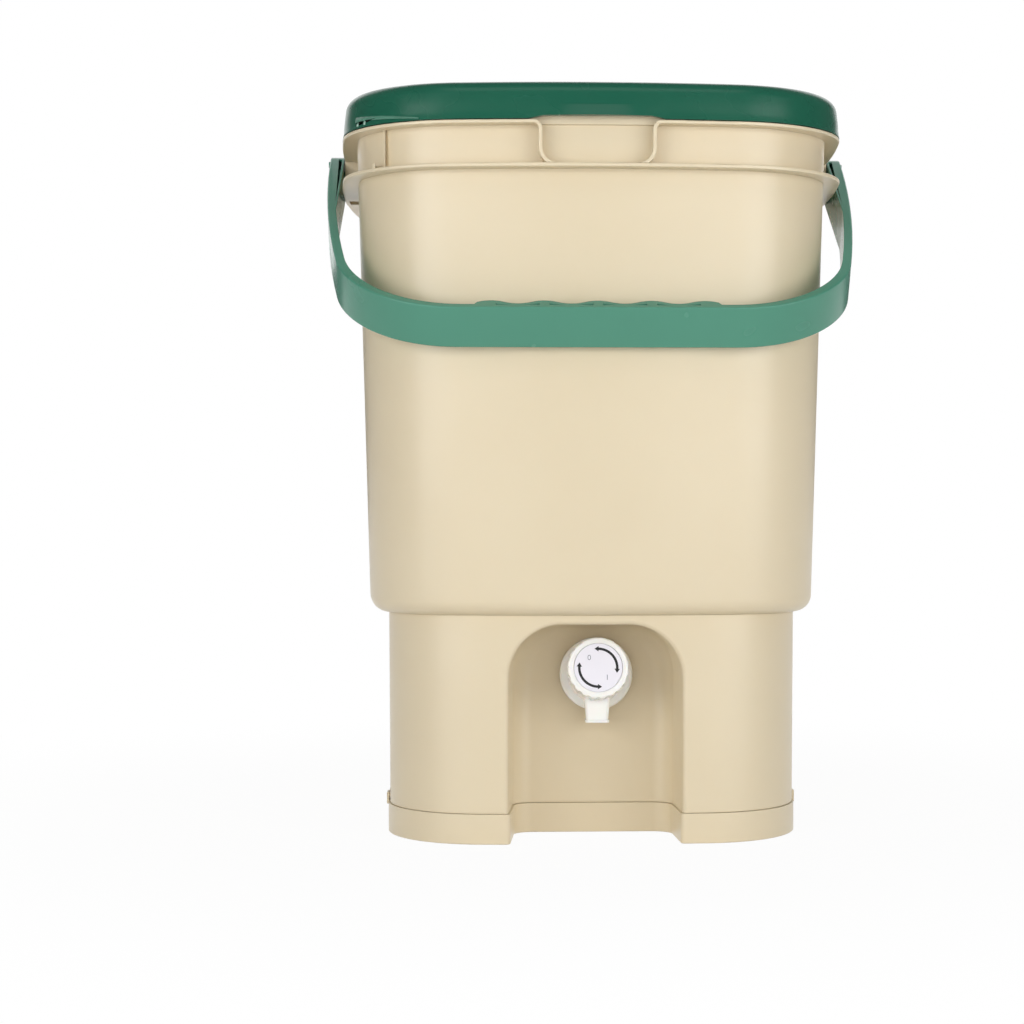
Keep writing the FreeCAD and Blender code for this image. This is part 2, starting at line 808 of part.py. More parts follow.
def bail_outside():
    """The bail's outer shape, filled, with its outer edges rounded."""
    wire = bail_profile(bail_reach, bail_pivot_half, bail_shoulder_half, bail_corner)
    solid = bail_slab(wire, -strap_half, strap_half).common(bail_zone())

    def at_rim(edge):
        bounds = edge.BoundBox
        level = at_height(-strap_half)(edge) or at_height(strap_half)(edge)
        seam = abs(bounds.YMin) < find and abs(bounds.YMax) < find
        round_end = bounds.ZLength > strap_half and bounds.YLength > strap_half / 2
        return (level and not seam) or round_end
    return round_edges(solid, strap_round, at_rim)


def bail_handle():
    """The bail, hanging in front with its grip against the pail."""
    inner = bail_profile(*bail_inner_line())
    strap = bail_outside().cut(bail_slab(inner, -strap_half - cut_past, strap_half + cut_past))
    grip, pockets = bail_grip()
    wedges, hollows = bail_bosses()
    zone = bail_zone()
    solid = strap.fuse([grip] + [wedge.common(zone) for wedge in wedges])
    solid = solid.cut(hollows + pockets)
    extras = []
    for side in (-1, 1):
        tip = side * (collar_half - pin_depth)
        length = bail_side_gap + pin_depth + bail_boss_wall
        extras.append(Part.makeCylinder(pin_radius, length, V(tip, 0, 0), V(side, 0, 0)))
        foot = V(side * (bail_pivot_half - strap_wall_arm / 2), 0, -nub_offset)
        extras.append(Part.makeCylinder(nub_radius, strap_wall_arm / 2 + nub_height, foot,
                                        V(side, 0, 0)))
    solid = solid.fuse(extras).removeSplitter()
    solid.rotate(V(0, 0, 0), X_AXIS, 180 + hanging_angle())
    solid.translate(V(0, 0, pivot_height))
    return solid


def hanging_angle():
    """Angle below level at which the grip's peaks come to rest_gap from the pail."""
    reach = bail_reach - strap_wall_grip - grip_peak

    def gap(angle):
        low_z = pivot_height - reach * math.sin(angle) - strap_half * math.cos(angle)
        wall = upper_half + upper_widening(low_z) + plan_extra
        return reach * math.cos(angle) - strap_half * math.sin(angle) - wall
    low, high = 0.0, math.radians(60)
    for _ in range(60):
        middle = (low + high) / 2
        if gap(middle) > rest_gap:
            low = middle
        else:
            high = middle
    return math.degrees(low)


def tap_axis():
    """Direction of the tap's turning axis, out of the niche."""
    tilt = math.radians(tap_tilt)
    return V(0, -math.cos(tilt), math.sin(tilt))


def tap_origin():
    """Where the turning axis crosses the tap flange's back face."""
    return V(0, -wall_front - washer_wall, tap_height)


def on_axis(distance):
    """Point on the turning axis at a distance from the flange's back."""
    return tap_origin() + tap_axis() * distance


def turned(radius, start, end):
    """Cylinder about the turning axis between two distances."""
    return Part.makeCylinder(radius, end - start, on_axis(start), tap_axis())


def tap_body():
    """Tap housing: flange, cone, spout and the stem through the pail's wall."""
    back = tap_origin()
    flange = Part.makeCylinder(tap_flange_radius, tap_flange_wall, back, -Y_AXIS)
    flange = round_edges(flange, tap_flange_round, lambda edge: edge.BoundBox.YMax < back.y - find
                         and edge.BoundBox.YLength < find)
    growth = (tap_cone_back - tap_cone_front) / tap_cone_length
    cone = Part.makeCone(tap_cone_back + growth * tap_cone_bury, tap_cone_front,
                         tap_cone_length + tap_cone_bury, on_axis(-tap_cone_bury), tap_axis())
    wide = 2 * tap_flange_radius
    behind = box((-wide, back.y, back.z - wide), (wide, back.y + wide, back.z + wide))
    stem_length = washer_wall * 2 + pail_wall + nut_wall + stem_spare
    stem = Part.makeCylinder(stem_radius, stem_length, back, Y_AXIS)
    spout_y = back.y - spout_forward
    spout_low = tap_height - spout_length
    body = flange.fuse([cone.cut(behind), stem, spout(spout_y, spout_low)])
    plug_room = turned(plug_radius + running_gap, plug_back, tap_cone_length + cut_past)
    feed = Part.makeCylinder(stem_bore, stem_length + cut_past + plug_back + running_gap,
                             back + Y_AXIS * (stem_length + cut_past), -Y_AXIS)
    drain = Part.makeCylinder(spout_bore, spout_length + cut_past,
                              V(0, spout_y, spout_low - cut_past), Z_AXIS)
    return body.cut([plug_room, feed, drain]).removeSplitter()


def spout(middle_y, low):
    """Outlet of the tap, narrowing to a thin lip."""
    wires = []
    for width, z in ((spout_bottom_width, low + lip_wall), (spout_top_width, low + spout_root)):
        half_x = width / 2
        half_y = spout_depth / 2 * width / spout_top_width
        corners = [V(-half_x, middle_y - half_y, z), V(half_x, middle_y - half_y, z),
                   V(half_x, middle_y + half_y, z), V(-half_x, middle_y + half_y, z)]
        wires.append(Part.makePolygon(corners + corners[:1]))
    tube = loft(wires)
    half = spout_bottom_width / 2 + lip_overhang
    lip = box((-half, middle_y - half, low), (half, middle_y + half, low + lip_wall))
    tube = round_edges(tube, spout_corner, lambda edge: edge.BoundBox.ZLength > spout_root / 2)
    lip = round_edges(lip, lip_corner, lambda edge: edge.BoundBox.ZLength > lip_wall / 2)
    return tube.fuse(lip)


def tap_plug():
    """Turning plug of the valve, shut at rest with its port to the left."""
    end = tap_cone_length + knob_length - dial_wall - knob_wall - dial_sink
    plug = turned(plug_radius, plug_back + lift_gap, tap_cone_length + lift_gap)
    spindle = turned(plug_radius - knob_wall, tap_cone_length, end)
    port_place = spout_forward / math.cos(math.radians(tap_tilt))
    hollow = turned(plug_bore, plug_back, port_place)
    port = Part.makeCylinder(port_radius, 2 * plug_radius, on_axis(port_place), -X_AXIS)
    groove_middle = tap_cone_length - o_ring_from_end
    groove = turned(plug_radius + cut_past, groove_middle - o_ring_groove_half,
                    groove_middle + o_ring_groove_half)
    groove = groove.cut(turned(plug_radius - 2 * o_ring_wire_radius, 0, 2 * tap_cone_length))
    return plug.fuse(spindle).cut([hollow, port, groove]).removeSplitter()


def tap_o_ring():
    """Seal round the plug, in its groove."""
    middle = tap_cone_length - o_ring_from_end
    radius = plug_radius + running_gap / 2 - o_ring_wire_radius
    return Part.makeTorus(radius, o_ring_wire_radius, on_axis(middle), tap_axis())


def tap_knob():
    """Scalloped cap that turns the plug."""
    start = tap_cone_length + lift_gap
    end = tap_cone_length + knob_length
    cap = turned(knob_radius, start, end)
    cap = round_edges(cap, knob_round, lambda edge: (edge.CenterOfMass - on_axis(end)).Length < find)
    side = X_AXIS
    up = tap_axis().cross(side)
    reach = knob_radius + knob_scallop_radius - knob_scallop_depth
    notches = []
    for index in range(knob_scallops):
        turn = 2 * math.pi * index / knob_scallops
        outward = side * math.cos(turn) + up * math.sin(turn)
        notches.append(Part.makeCylinder(knob_scallop_radius, knob_length + 2 * cut_past,
                                         on_axis(start - cut_past) + outward * reach, tap_axis()))
    face = end - dial_wall - dial_sink
    inner_face = face - knob_wall
    sink = turned(dial_radius + wrap_gap, face, end + cut_past)
    hub = turned(plug_radius + knob_wall, start, end)
    shell = turned(knob_radius - knob_scallop_depth - knob_wall, start - cut_past, inner_face)
    socket = turned(plug_radius - knob_wall + seat_gap, start - cut_past, inner_face)
    return cap.cut(notches + [sink, shell.cut(hub), socket]).removeSplitter()


def tap_dial_disc():
    """Printed disc set into the knob's face."""
    end = tap_cone_length + knob_length - dial_sink
    return turned(dial_radius, end - dial_wall, end)


def washer(start):
    """Flat rubber washer on the stem, its outer face at the given Y."""
    ring = Part.makeCylinder(washer_radius, washer_wall, V(0, start, tap_height), Y_AXIS)
    hole = Part.makeCylinder(stem_radius + wrap_gap, washer_wall + 2 * cut_past,
                             V(0, start - cut_past, tap_height), Y_AXIS)
    return ring.cut(hole)


def tap_lock_nut():
    """Hexagon nut on the stem, inside the pail."""
    start = -wall_front + pail_wall + washer_wall
    radius = nut_across_flats / math.sqrt(3)
    points = []
    for index in range(6):
        turn = math.pi * index / 3
        points.append(V(radius * math.cos(turn), start, tap_height + radius * math.sin(turn)))
    nut = Part.Face(Part.makePolygon(points + points[:1])).extrude(V(0, nut_wall, 0))
    chamfer = Part.makeCone(radius + nut_wall - nut_chamfer, radius - nut_chamfer, nut_wall,
                            V(0, start, tap_height), Y_AXIS)
    hole = Part.makeCylinder(stem_radius + running_gap, nut_wall + 2 * cut_past,
                             V(0, start - cut_past, tap_height), Y_AXIS)
    return nut.common(chamfer).cut(hole)


def drain_grate():
    """Perforated plate on the pail's inner shoulder, with a lifting knob."""
    low = shoulder_height + pail_wall
    edge = -pail_wall - (shoulder_round - pail_wall) - grate_edge_gap
    rim_wire = upper_outline(edge, low, upper_widening(low))
    holes = []
    for column in range(grate_columns):
        for row in range(grate_rows):
            x = (column - (grate_columns - 1) / 2) * grate_pitch
            y = (row - (grate_rows - 1) / 2) * grate_pitch
            near_knob = math.hypot(x, y) < grate_knob_radius + grate_hole_radius + grate_web
            if not near_knob and grate_hole_fits(x, y, edge):
                holes.append(Part.makeCylinder(grate_hole_radius, grate_wall + 2 * cut_past,
                                               V(x, y, low - cut_past)))
    plate = slab(rim_wire, grate_wall).cut(Part.makeCompound(holes))
    rim = slab(upper_outline(edge, low, upper_widening(low)), grate_rim)
    rim = rim.cut(slab(upper_outline(edge - grate_rim_wall, low - cut_past, upper_widening(low)),
                       grate_rim + 2 * cut_past))
    knob = Part.makeCone(grate_knob_foot_radius, grate_knob_radius, grate_knob_height,
                         V(0, 0, low))
    knob = round_edges(knob, grate_knob_round, at_height(low + grate_knob_height))
    return plate.fuse([rim, knob]).removeSplitter()


def grate_hole_fits(x, y, edge):
    """Whether a hole clears the plate's rim and its rounded corners."""
    margin = grate_rim_wall + 2 * grate_hole_radius
    half_x = upper_half + edge - margin
    half_y = half_x + plan_extra
    corner = upper_corner + edge - margin
    if abs(x) > half_x or abs(y) > half_y:
        return False
    past_x = abs(x) - (half_x - corner)
    past_y = abs(y) - (half_y - corner)
    return past_x < 0 or past_y < 0 or math.hypot(past_x, past_y) < corner


def front_reach():
    """How far the hanging bail reaches in front of the pail's axis."""
    angle = math.radians(hanging_angle())
    return bail_reach * math.cos(angle) + strap_half * math.sin(angle)


def export_all():
    """Write every piece, moved so that the origin is below the object's middle."""
    back_reach = collar_half + plan_extra
    shift = V(0, (front_reach() - back_reach) / 2, 0)
    print("shift_y", round(shift.y, 3), "hang", round(hanging_angle(), 3))
    print("pivot", (0, round(shift.y, 3), pivot_height))
    tap_place = shift + X_AXIS * tap_shift
    knob_point = on_axis(tap_cone_length) + tap_place
    print("knob axis", [round(v, 4) for v in tap_axis()], [round(v, 3) for v in knob_point])
    pieces = {
        "base_ring": base_ring(),
        "lid": lid(),
        "lid_gasket": lid_gasket(),
        "bail_handle": bail_handle(),
        "tap_body": tap_body(),
        "tap_knob": tap_knob(),
        "tap_dial_disc": tap_dial_disc(),
        "tap_plug": tap_plug(),
        "tap_o_ring": tap_o_ring(),
        "tap_outer_washer": washer(-wall_front - washer_wall),
        "tap_inner_washer": washer(-wall_front + pail_wall),
        "tap_lock_nut": tap_lock_nut(),
        "drain_grate": drain_grate(),
    }
    pieces.update(bucket_pieces())
    for name, shape in pieces.items():
        shape.translate(tap_place if name.startswith("tap_") else shift)
        shape.exportStep("parts/" + name + ".step")
        bounds = shape.BoundBox
        print(name, len(shape.Solids), shape.isValid(), round(shape.Volume),
              [round(v, 2) for v in (bounds.XMin, bounds.YMin, bounds.ZMin,
                                     bounds.XMax, bounds.YMax, bounds.ZMax)])


os.makedirs("parts", exist_ok=True)
export_all()
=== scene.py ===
"""Looks of the kitchen compost bin: finishes, printed dial, floor, light and camera."""
import json
import math

import bpy
from mathutils import Matrix, Vector

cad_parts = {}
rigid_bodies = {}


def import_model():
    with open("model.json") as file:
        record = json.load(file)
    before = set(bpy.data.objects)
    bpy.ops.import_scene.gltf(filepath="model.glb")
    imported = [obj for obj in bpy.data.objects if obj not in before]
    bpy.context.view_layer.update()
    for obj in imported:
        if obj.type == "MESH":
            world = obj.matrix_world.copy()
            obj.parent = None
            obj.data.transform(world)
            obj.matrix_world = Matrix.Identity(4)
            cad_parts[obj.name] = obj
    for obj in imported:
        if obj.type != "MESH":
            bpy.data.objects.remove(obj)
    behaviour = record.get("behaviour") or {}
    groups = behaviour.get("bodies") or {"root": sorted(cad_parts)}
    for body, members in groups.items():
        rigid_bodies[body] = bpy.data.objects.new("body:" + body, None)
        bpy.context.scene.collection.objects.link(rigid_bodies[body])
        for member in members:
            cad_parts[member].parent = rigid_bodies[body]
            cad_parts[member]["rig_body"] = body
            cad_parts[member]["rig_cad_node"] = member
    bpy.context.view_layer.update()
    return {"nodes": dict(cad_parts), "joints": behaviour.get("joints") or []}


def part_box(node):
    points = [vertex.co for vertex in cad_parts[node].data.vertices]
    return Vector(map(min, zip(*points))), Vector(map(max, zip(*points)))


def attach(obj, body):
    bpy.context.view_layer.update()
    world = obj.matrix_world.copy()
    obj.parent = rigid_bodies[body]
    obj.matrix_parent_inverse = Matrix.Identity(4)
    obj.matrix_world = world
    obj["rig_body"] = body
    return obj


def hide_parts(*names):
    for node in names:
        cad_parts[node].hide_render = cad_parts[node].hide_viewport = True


MM = 0.001

# The photograph's camera, in metres and radians: near half the bin's height, slightly to its left
FRAME_PIXELS = 1024
SENSOR_MM = 36.0
FOCAL_PIXELS = 2225.7
EYE_DISTANCE = 1.349
EYE_HEIGHT = 0.1937
EYE_TURN = 0.040
CENTRE_PIXEL = (586.0, 489.45)

# Lamps: name, place, width, height and power; each looks at the middle of the bin.
# The corner lamps are wide, so that the lid's front corners mirror them as bright edges.
LAMPS = (
    ("front_softbox_left", (-0.66, -1.9, 0.38), 0.70, 1.0, 5.4),
    ("front_softbox_right", (0.66, -1.9, 0.38), 0.70, 1.0, 5.4),
    ("corner_softbox_left", (-1.4, -1.4, 0.47), 1.05, 1.0, 13.4),
    ("corner_softbox_right", (1.4, -1.4, 0.47), 1.10, 1.0, 14.0),
    ("top_softbox", (0.0, -1.2, 1.7), 1.4, 0.8, 4.0),
    ("back_softbox", (0.0, 1.9, 1.35), 2.8, 1.9, 22.0),
)
LAMP_AIM = (0.0, 0.0, 0.22)

# White tent round the bin: bright at its walls and dimmer overhead
TENT_WALL = 0.06
TENT_ROOF = 0.18
TENT_WALL_TOP = 0.06
TENT_ROOF_EDGE = 0.62
GLOSSY_WHITE_SHARE = 0.06

# Floor: white to the camera far away, with the bin's shadow kept near it
FLOOR_SIZE = 14
FLOOR_NEAR = 0.16
FLOOR_FAR = 0.60
FLOOR_NEAR_SHARE = 0.95

# Printed dial, in millimetres and degrees, zero to the right and turning left
ARROW_RADIUS = 10.5
ARROW_STROKE = 1.4
ARROW_MIDDLE = 42.5
ARROW_HALF_SPAN = 46.0
ARROW_HEAD_LENGTH = 2.2
ARROW_HEAD_WIDTH = 3.0
ARROW_STEPS = 28
INK_HEIGHT = 0.04
DIAL_WALL = 0.8
FIGURE_SIZE = 4.2
FIGURE_RADIUS = 7.4
FIGURE_TURNS = {"0": 132.0, "1": -48.0}

# Sunk panel of the lid: its depth, and the depth below which level faces are matt
PANEL_DEPTH = 9.0
MATT_DEPTH = 6.0
MATT_BLEND = 0.5
MATT_ADDED_ROUGHNESS = 0.32

# Gate mark in the middle of the lid's panel, in millimetres
GATE_RADIUS = 3.2
GATE_HEIGHT = 0.35
GATE_INSET = 1.1
GATE_DIMPLE_SHARE = 0.7
GATE_SOFT_EDGE = 0.12

# Start of the lid's tear strip, in millimetres. Bridges are given by their left and right X,
# the slot by the depths of its lower and upper edge below the lid's top, and the ledge's ends
# by X and both depths.
TEAR_BRIDGES = ((-131.1, -129.9), (-127.0, -125.8))
TEAR_SLOT = (19.8, 17.4)
TEAR_LEDGE_LEFT = (-131.4, 17.4, 14.5)
TEAR_LEDGE_RIGHT = (-96.0, 20.2, 19.4)
TEAR_BRIDGE_PROUD = 0.15
TEAR_LEDGE_PROUD = 0.7
UPPER_EDGE_SHARE = 0.15

SMOOTH_ANGLE = math.radians(32)
MERGE_DISTANCE = 1e-6


def linear(hex_colour):
    """Linear RGBA of an sRGB hex colour."""
    channels = [int(hex_colour[place:place + 2], 16) / 255 for place in (1, 3, 5)]
    return tuple(c / 12.92 if c <= 0.04045 else ((c + 0.055) / 1.055) ** 2.4
                 for c in channels) + (1.0,)


def add_node(tree, kind, inputs=(), **settings):
    """Add a node; an input that is given another node's output is linked, any other is set."""
    node = tree.nodes.new(kind)
    for name, value in settings.items():
        setattr(node, name, value)
    for name, value in dict(inputs).items():
        if isinstance(value, bpy.types.NodeSocket):
            tree.links.new(value, node.inputs[name])
        else:
            node.inputs[name].default_value = value
    return node


def new_material(name):
    """Empty material with its node tree."""
    material = bpy.data.materials.new(name)
    material.use_nodes = True
    material.node_tree.nodes.clear()
    return material, material.node_tree


def finish_material(tree, surface):
    """Link a shader to the material's output."""
    add_node(tree, "ShaderNodeOutputMaterial", {"Surface": surface})


def panel_roughness(tree, rough, below):
    """Add roughness on level faces below a height, where a spark-eroded mould leaves them matt."""
    coordinates = add_node(tree, "ShaderNodeTexCoord")
    height = add_node(tree, "ShaderNodeSeparateXYZ", {"Vector": coordinates.outputs["Object"]})
    facing = add_node(tree, "ShaderNodeSeparateXYZ", {"Vector": coordinates.outputs["Normal"]})
    low = add_node(tree, "ShaderNodeMapRange", {"Value": height.outputs["Z"], "From Min": below,
                                                "From Max": below - MATT_BLEND * MM})
    level = add_node(tree, "ShaderNodeMapRange", {"Value": facing.outputs["Z"],
                                                  "From Min": 0.85, "From Max": 0.95})
    share = add_node(tree, "ShaderNodeMath", {0: low.outputs[0], 1: level.outputs[0]},
                     operation="MULTIPLY")
    return add_node(tree, "ShaderNodeMath",
                    {0: share.outputs[0], 1: MATT_ADDED_ROUGHNESS, 2: rough},
                    operation="MULTIPLY_ADD").outputs[0]


def moulded_plastic(name, colour, cloud_colour, roughness, edge_mm=0.5, glow=0.0, gloss=0.5,
                    matt_below=None):
    """Injection-moulded polypropylene: even colour, soft satin gloss and rounded edges."""
    material, tree = new_material(name)
    place = add_node(tree, "ShaderNodeTexCoord").outputs["Object"]
    # pigment clouds about 60 mm across, only just darker than the rest
    cloud = add_node(tree, "ShaderNodeTexNoise",
                     {"Vector": place, "Scale": 1 / (60 * MM), "Detail": 3.0})
    tint = add_node(tree, "ShaderNodeMix", {0: cloud.outputs["Fac"], 6: linear(colour),
                                            7: linear(cloud_colour)}, data_type="RGBA")
    # polished steel leaves a skin whose gloss changes over about 25 mm
    sheen = add_node(tree, "ShaderNodeTexNoise",
                     {"Vector": place, "Scale": 1 / (25 * MM), "Detail": 2.0})
    rough = add_node(tree, "ShaderNodeMapRange",
                     {"Value": sheen.outputs["Fac"], "From Min": 0.3, "From Max": 0.7,
                      "To Min": roughness - 0.03, "To Max": roughness + 0.04}).outputs[0]
    if matt_below:
        rough = panel_roughness(tree, rough, matt_below)
    # the fine skin of the mould is about 0.1 mm; drawn at 1.2 mm, so that it shows
    skin = add_node(tree, "ShaderNodeTexNoise",
                    {"Vector": place, "Scale": 1 / (1.2 * MM), "Detail": 2.0})
    # sink marks and slow waves of a thin wall, about 45 mm long
    wave = add_node(tree, "ShaderNodeTexNoise",
                    {"Vector": place, "Scale": 1 / (45 * MM), "Detail": 1.0})
    edge = add_node(tree, "ShaderNodeBevel", {"Radius": edge_mm * MM}, samples=4)
    slow = add_node(tree, "ShaderNodeBump", {"Height": wave.outputs["Fac"], "Strength": 0.25,
                                             "Distance": 0.5 * MM, "Normal": edge.outputs[0]})
    fine = add_node(tree, "ShaderNodeBump", {"Height": skin.outputs["Fac"], "Strength": 0.2,
                                             "Distance": 0.03 * MM, "Normal": slow.outputs[0]})
    shader = add_node(tree, "ShaderNodeBsdfPrincipled",
                      {"Base Color": tint.outputs[2], "Roughness": rough,
                       "Normal": fine.outputs[0], "IOR": 1.49, "Specular IOR Level": gloss,
                       "Subsurface Weight": glow, "Subsurface Scale": 2 * MM,
                       "Subsurface Radius": (1.0, 0.7, 0.45)})
    finish_material(tree, shader.outputs[0])
    return material


def beige_polypropylene():
    """Pail, foot ring and grate: warm beige with a satin skin."""
    return moulded_plastic("beige_polypropylene", "#DFD1B4", "#DACBAD", 0.33, glow=0.06)


def bottle_green_polypropylene():
    """Lid: deep green, a little glossier than the pail, with a matt sunk panel."""
    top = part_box("lid")[1].z
    return moulded_plastic("bottle_green_polypropylene", "#1B5E49", "#185743", 0.26, gloss=0.3,
                           matt_below=top - MATT_DEPTH * MM)


def sea_green_polypropylene():
    """Bail: the lid's green drawn paler, as painted light for the light that falls on its front.
    """
    # paler than the lid's green: painted light on the bail's front, not a colour of the plastic
    return moulded_plastic("sea_green_polypropylene", "#50907A", "#4A8973", 0.24, edge_mm=0.6,
                           gloss=0.4)


def white_polypropylene():
    """Tap: glossy white moulding."""
    return moulded_plastic("white_polypropylene", "#F6F6F4", "#F1F1EE", 0.25, edge_mm=0.35,
                           glow=0.25)


def white_label_film():
    """Dial disc: smooth film with a faint lilac cast."""
    return moulded_plastic("white_label_film", "#EFEDF5", "#EBE9F2", 0.22, edge_mm=0.1)


def painted_highlight_green(name, colour):
    """Lid's green drawn pale and matt: painted highlight on the tear strip's bridges and ledge."""
    return moulded_plastic(name, colour, colour, 0.38, edge_mm=0.2, gloss=0.3)


def black_rubber():
    """Washers, seals: matt moulded rubber with a bloom of paler dust."""
    material, tree = new_material("black_rubber")
    place = add_node(tree, "ShaderNodeTexCoord").outputs["Object"]
    bloom = add_node(tree, "ShaderNodeTexNoise",
                     {"Vector": place, "Scale": 1 / (6 * MM), "Detail": 4.0})
    tint = add_node(tree, "ShaderNodeMix", {0: bloom.outputs["Fac"], 6: linear("#1B1B1C"),
                                            7: linear("#2A2A2B")}, data_type="RGBA")
    grain = add_node(tree, "ShaderNodeTexNoise", {"Vector": place, "Scale": 1 / (0.4 * MM)})
    bump = add_node(tree, "ShaderNodeBump", {"Height": grain.outputs["Fac"], "Strength": 0.4,
                                             "Distance": 0.05 * MM})
    shader = add_node(tree, "ShaderNodeBsdfPrincipled",
                      {"Base Color": tint.outputs[2], "Roughness": 0.72, "IOR": 1.52,
                       "Normal": bump.outputs[0]})
    finish_material(tree, shader.outputs[0])
    return material


def printing_ink(name, colour):
    """Pad-printed ink: matt, with a slightly uneven film."""
    material, tree = new_material(name)
    place = add_node(tree, "ShaderNodeTexCoord").outputs["Object"]
    film = add_node(tree, "ShaderNodeTexNoise", {"Vector": place, "Scale": 1 / (0.5 * MM)})
    rough = add_node(tree, "ShaderNodeMapRange", {"Value": film.outputs["Fac"],
                                                  "To Min": 0.42, "To Max": 0.62})
    bump = add_node(tree, "ShaderNodeBump", {"Height": film.outputs["Fac"], "Strength": 0.2,
                                             "Distance": 0.01 * MM})
    shader = add_node(tree, "ShaderNodeBsdfPrincipled",
                      {"Base Color": linear(colour), "Roughness": rough.outputs[0],
                       "Normal": bump.outputs[0]})
    finish_material(tree, shader.outputs[0])
    return material


def deselect_all():
    """Leave object mode's selection empty."""
    for thing in bpy.context.selected_objects:
        thing.select_set(False)


def make_active(thing):
    """Select one object and make it the active one."""
    deselect_all()
    thing.select_set(True)
    bpy.context.view_layer.objects.active = thing


def dress(thing, material):
    """Give an object one material in its only slot."""
    thing.data.materials.clear()
    thing.data.materials.append(material)


def merged_copy(node, name):
    """Copy of a CAD node with its doubled corners merged, active and in edit mode."""
    source = frame["nodes"][node]
    thing = source.copy()
    thing.data = source.data.copy()
    thing.name = name
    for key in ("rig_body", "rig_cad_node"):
        del thing[key]
    thing.parent = None
    bpy.context.scene.collection.objects.link(thing)
    make_active(thing)
    bpy.ops.object.mode_set(mode="EDIT")
    bpy.ops.mesh.select_all(action="SELECT")
    bpy.ops.mesh.customdata_custom_splitnormals_clear()
    bpy.ops.mesh.remove_doubles(threshold=MERGE_DISTANCE)
    return thing


def smooth_copy(node, material):
    """Merged, smoothly shaded copy of a CAD node that stands for it."""
    thing = merged_copy(node, node + "_moulding")
    bpy.ops.object.mode_set(mode="OBJECT")
    bpy.ops.object.shade_smooth_by_angle(angle=SMOOTH_ANGLE, keep_sharp_edges=False)
    dress(thing, material)
    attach(thing, frame["nodes"][node]["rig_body"])
    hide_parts(node)
    return thing


def settle(thing, place):
    """Write an object's place into its mesh, so that it sits at the origin, unturned."""
    thing.data.transform(place @ thing.matrix_world)
    thing.matrix_world = Matrix.Identity(4)
    thing.data.update()


def dial_place():
    """Frame of the dial's face: X to the right, Y up the face, Z out of it."""
    joint = next(j for j in frame["joints"] if j["name"] == "knob_turn")
    outward = Vector(joint["axis"]).normalized()
    up = (Vector((0, 0, 1)) - outward * outward.z).normalized()
    right = up.cross(outward)
    low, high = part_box("tap_dial_disc")
    centre = (low + high) / 2 + outward * DIAL_WALL / 2 * MM
    place = Matrix((right, up, outward)).transposed().to_4x4()
    place.translation = centre
    return place


def select_faces(thing, chosen):
    """In edit mode, select just the faces for which chosen(centre, normal) is true."""
    bpy.ops.object.mode_set(mode="OBJECT")
    for face in thing.data.polygons:
        face.select = chosen(face.center, face.normal)
    for edge in thing.data.edges:
        edge.select = False
    for vertex in thing.data.vertices:
        vertex.select = False
    bpy.ops.object.mode_set(mode="EDIT")
    bpy.ops.mesh.select_mode(type="FACE")


def arrow_head(thing, tip_angle, turning):
    """Flare one end of the arc and draw it out to a point."""
    angle = math.radians(tip_angle)
    radial = Vector((math.cos(angle), math.sin(angle), 0))
    along = Vector((-math.sin(angle), math.cos(angle), 0)) * turning
    end = radial * ARROW_RADIUS * MM
    select_faces(thing, lambda centre, normal: normal.dot(along) > 0.9
                 and (centre.xy - end.xy).length < 0.2 * MM)
    bpy.ops.mesh.extrude_region()
    flare = ARROW_HEAD_WIDTH / ARROW_STROKE
    scale_about(end, flare)
    bpy.ops.mesh.extrude_region()
    step = along * ARROW_HEAD_LENGTH * MM
    bpy.ops.transform.translate(value=step)
    scale_about(end + step, 0.05)
    bpy.ops.object.mode_set(mode="OBJECT")


def scale_about(centre, factor):
    """Scale the selection in the dial's plane about a point."""
    bpy.ops.transform.resize(value=(factor, factor, 1), center_override=centre)


def dial_arrow(name, middle, ink, place):
    """Curved arrow with a head at both ends, printed on the dial."""
    deselect_all()
    start = math.radians(middle - ARROW_HALF_SPAN)
    bpy.ops.mesh.primitive_plane_add(size=1)
    thing = bpy.context.object
    thing.name = name
    bpy.ops.object.mode_set(mode="EDIT")
    bpy.ops.transform.resize(value=(ARROW_STROKE * MM, INK_HEIGHT * MM, 1))
    bpy.ops.object.mode_set(mode="OBJECT")
    stand = Matrix.Rotation(start, 4, "Z") @ Matrix.Translation(
        (ARROW_RADIUS * MM, 0, INK_HEIGHT / 2 * MM)) @ Matrix.Rotation(math.pi / 2, 4, "X")
    settle(thing, stand)
    make_active(thing)
    bpy.ops.object.mode_set(mode="EDIT")
    bpy.ops.mesh.select_all(action="SELECT")
    bpy.ops.mesh.spin(steps=ARROW_STEPS, angle=math.radians(2 * ARROW_HALF_SPAN),
                      center=(0, 0, 0), axis=(0, 0, -1))
    bpy.ops.mesh.select_all(action="SELECT")
    bpy.ops.mesh.remove_doubles(threshold=MERGE_DISTANCE)
    bpy.ops.mesh.normals_make_consistent(inside=False)
    arrow_head(thing, middle + ARROW_HALF_SPAN, 1)
    arrow_head(thing, middle - ARROW_HALF_SPAN, -1)
    settle(thing, place)
    dress(thing, ink)
    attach(thing, "knob")


def dial_figure(text, turn, ink, place):
    """Plain figure on the dial, upright to the middle of its side."""
    deselect_all()
    bpy.ops.object.text_add()
    thing = bpy.context.object
    thing.data.body = text
    thing.data.size = FIGURE_SIZE * MM
    thing.data.align_x = "CENTER"
    thing.data.align_y = "CENTER"
    thing.data.extrude = INK_HEIGHT / 2 * MM
    bpy.ops.object.convert(target="MESH")
    thing = bpy.context.object
    thing.name = "dial_figure_" + text
    angle = math.radians(turn)
    centre = Vector((math.cos(angle), math.sin(angle), 0)) * FIGURE_RADIUS * MM
    centre.z = INK_HEIGHT / 2 * MM
    settle(thing, place @ Matrix.Translation(centre))
    dress(thing, ink)
    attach(thing, "knob")


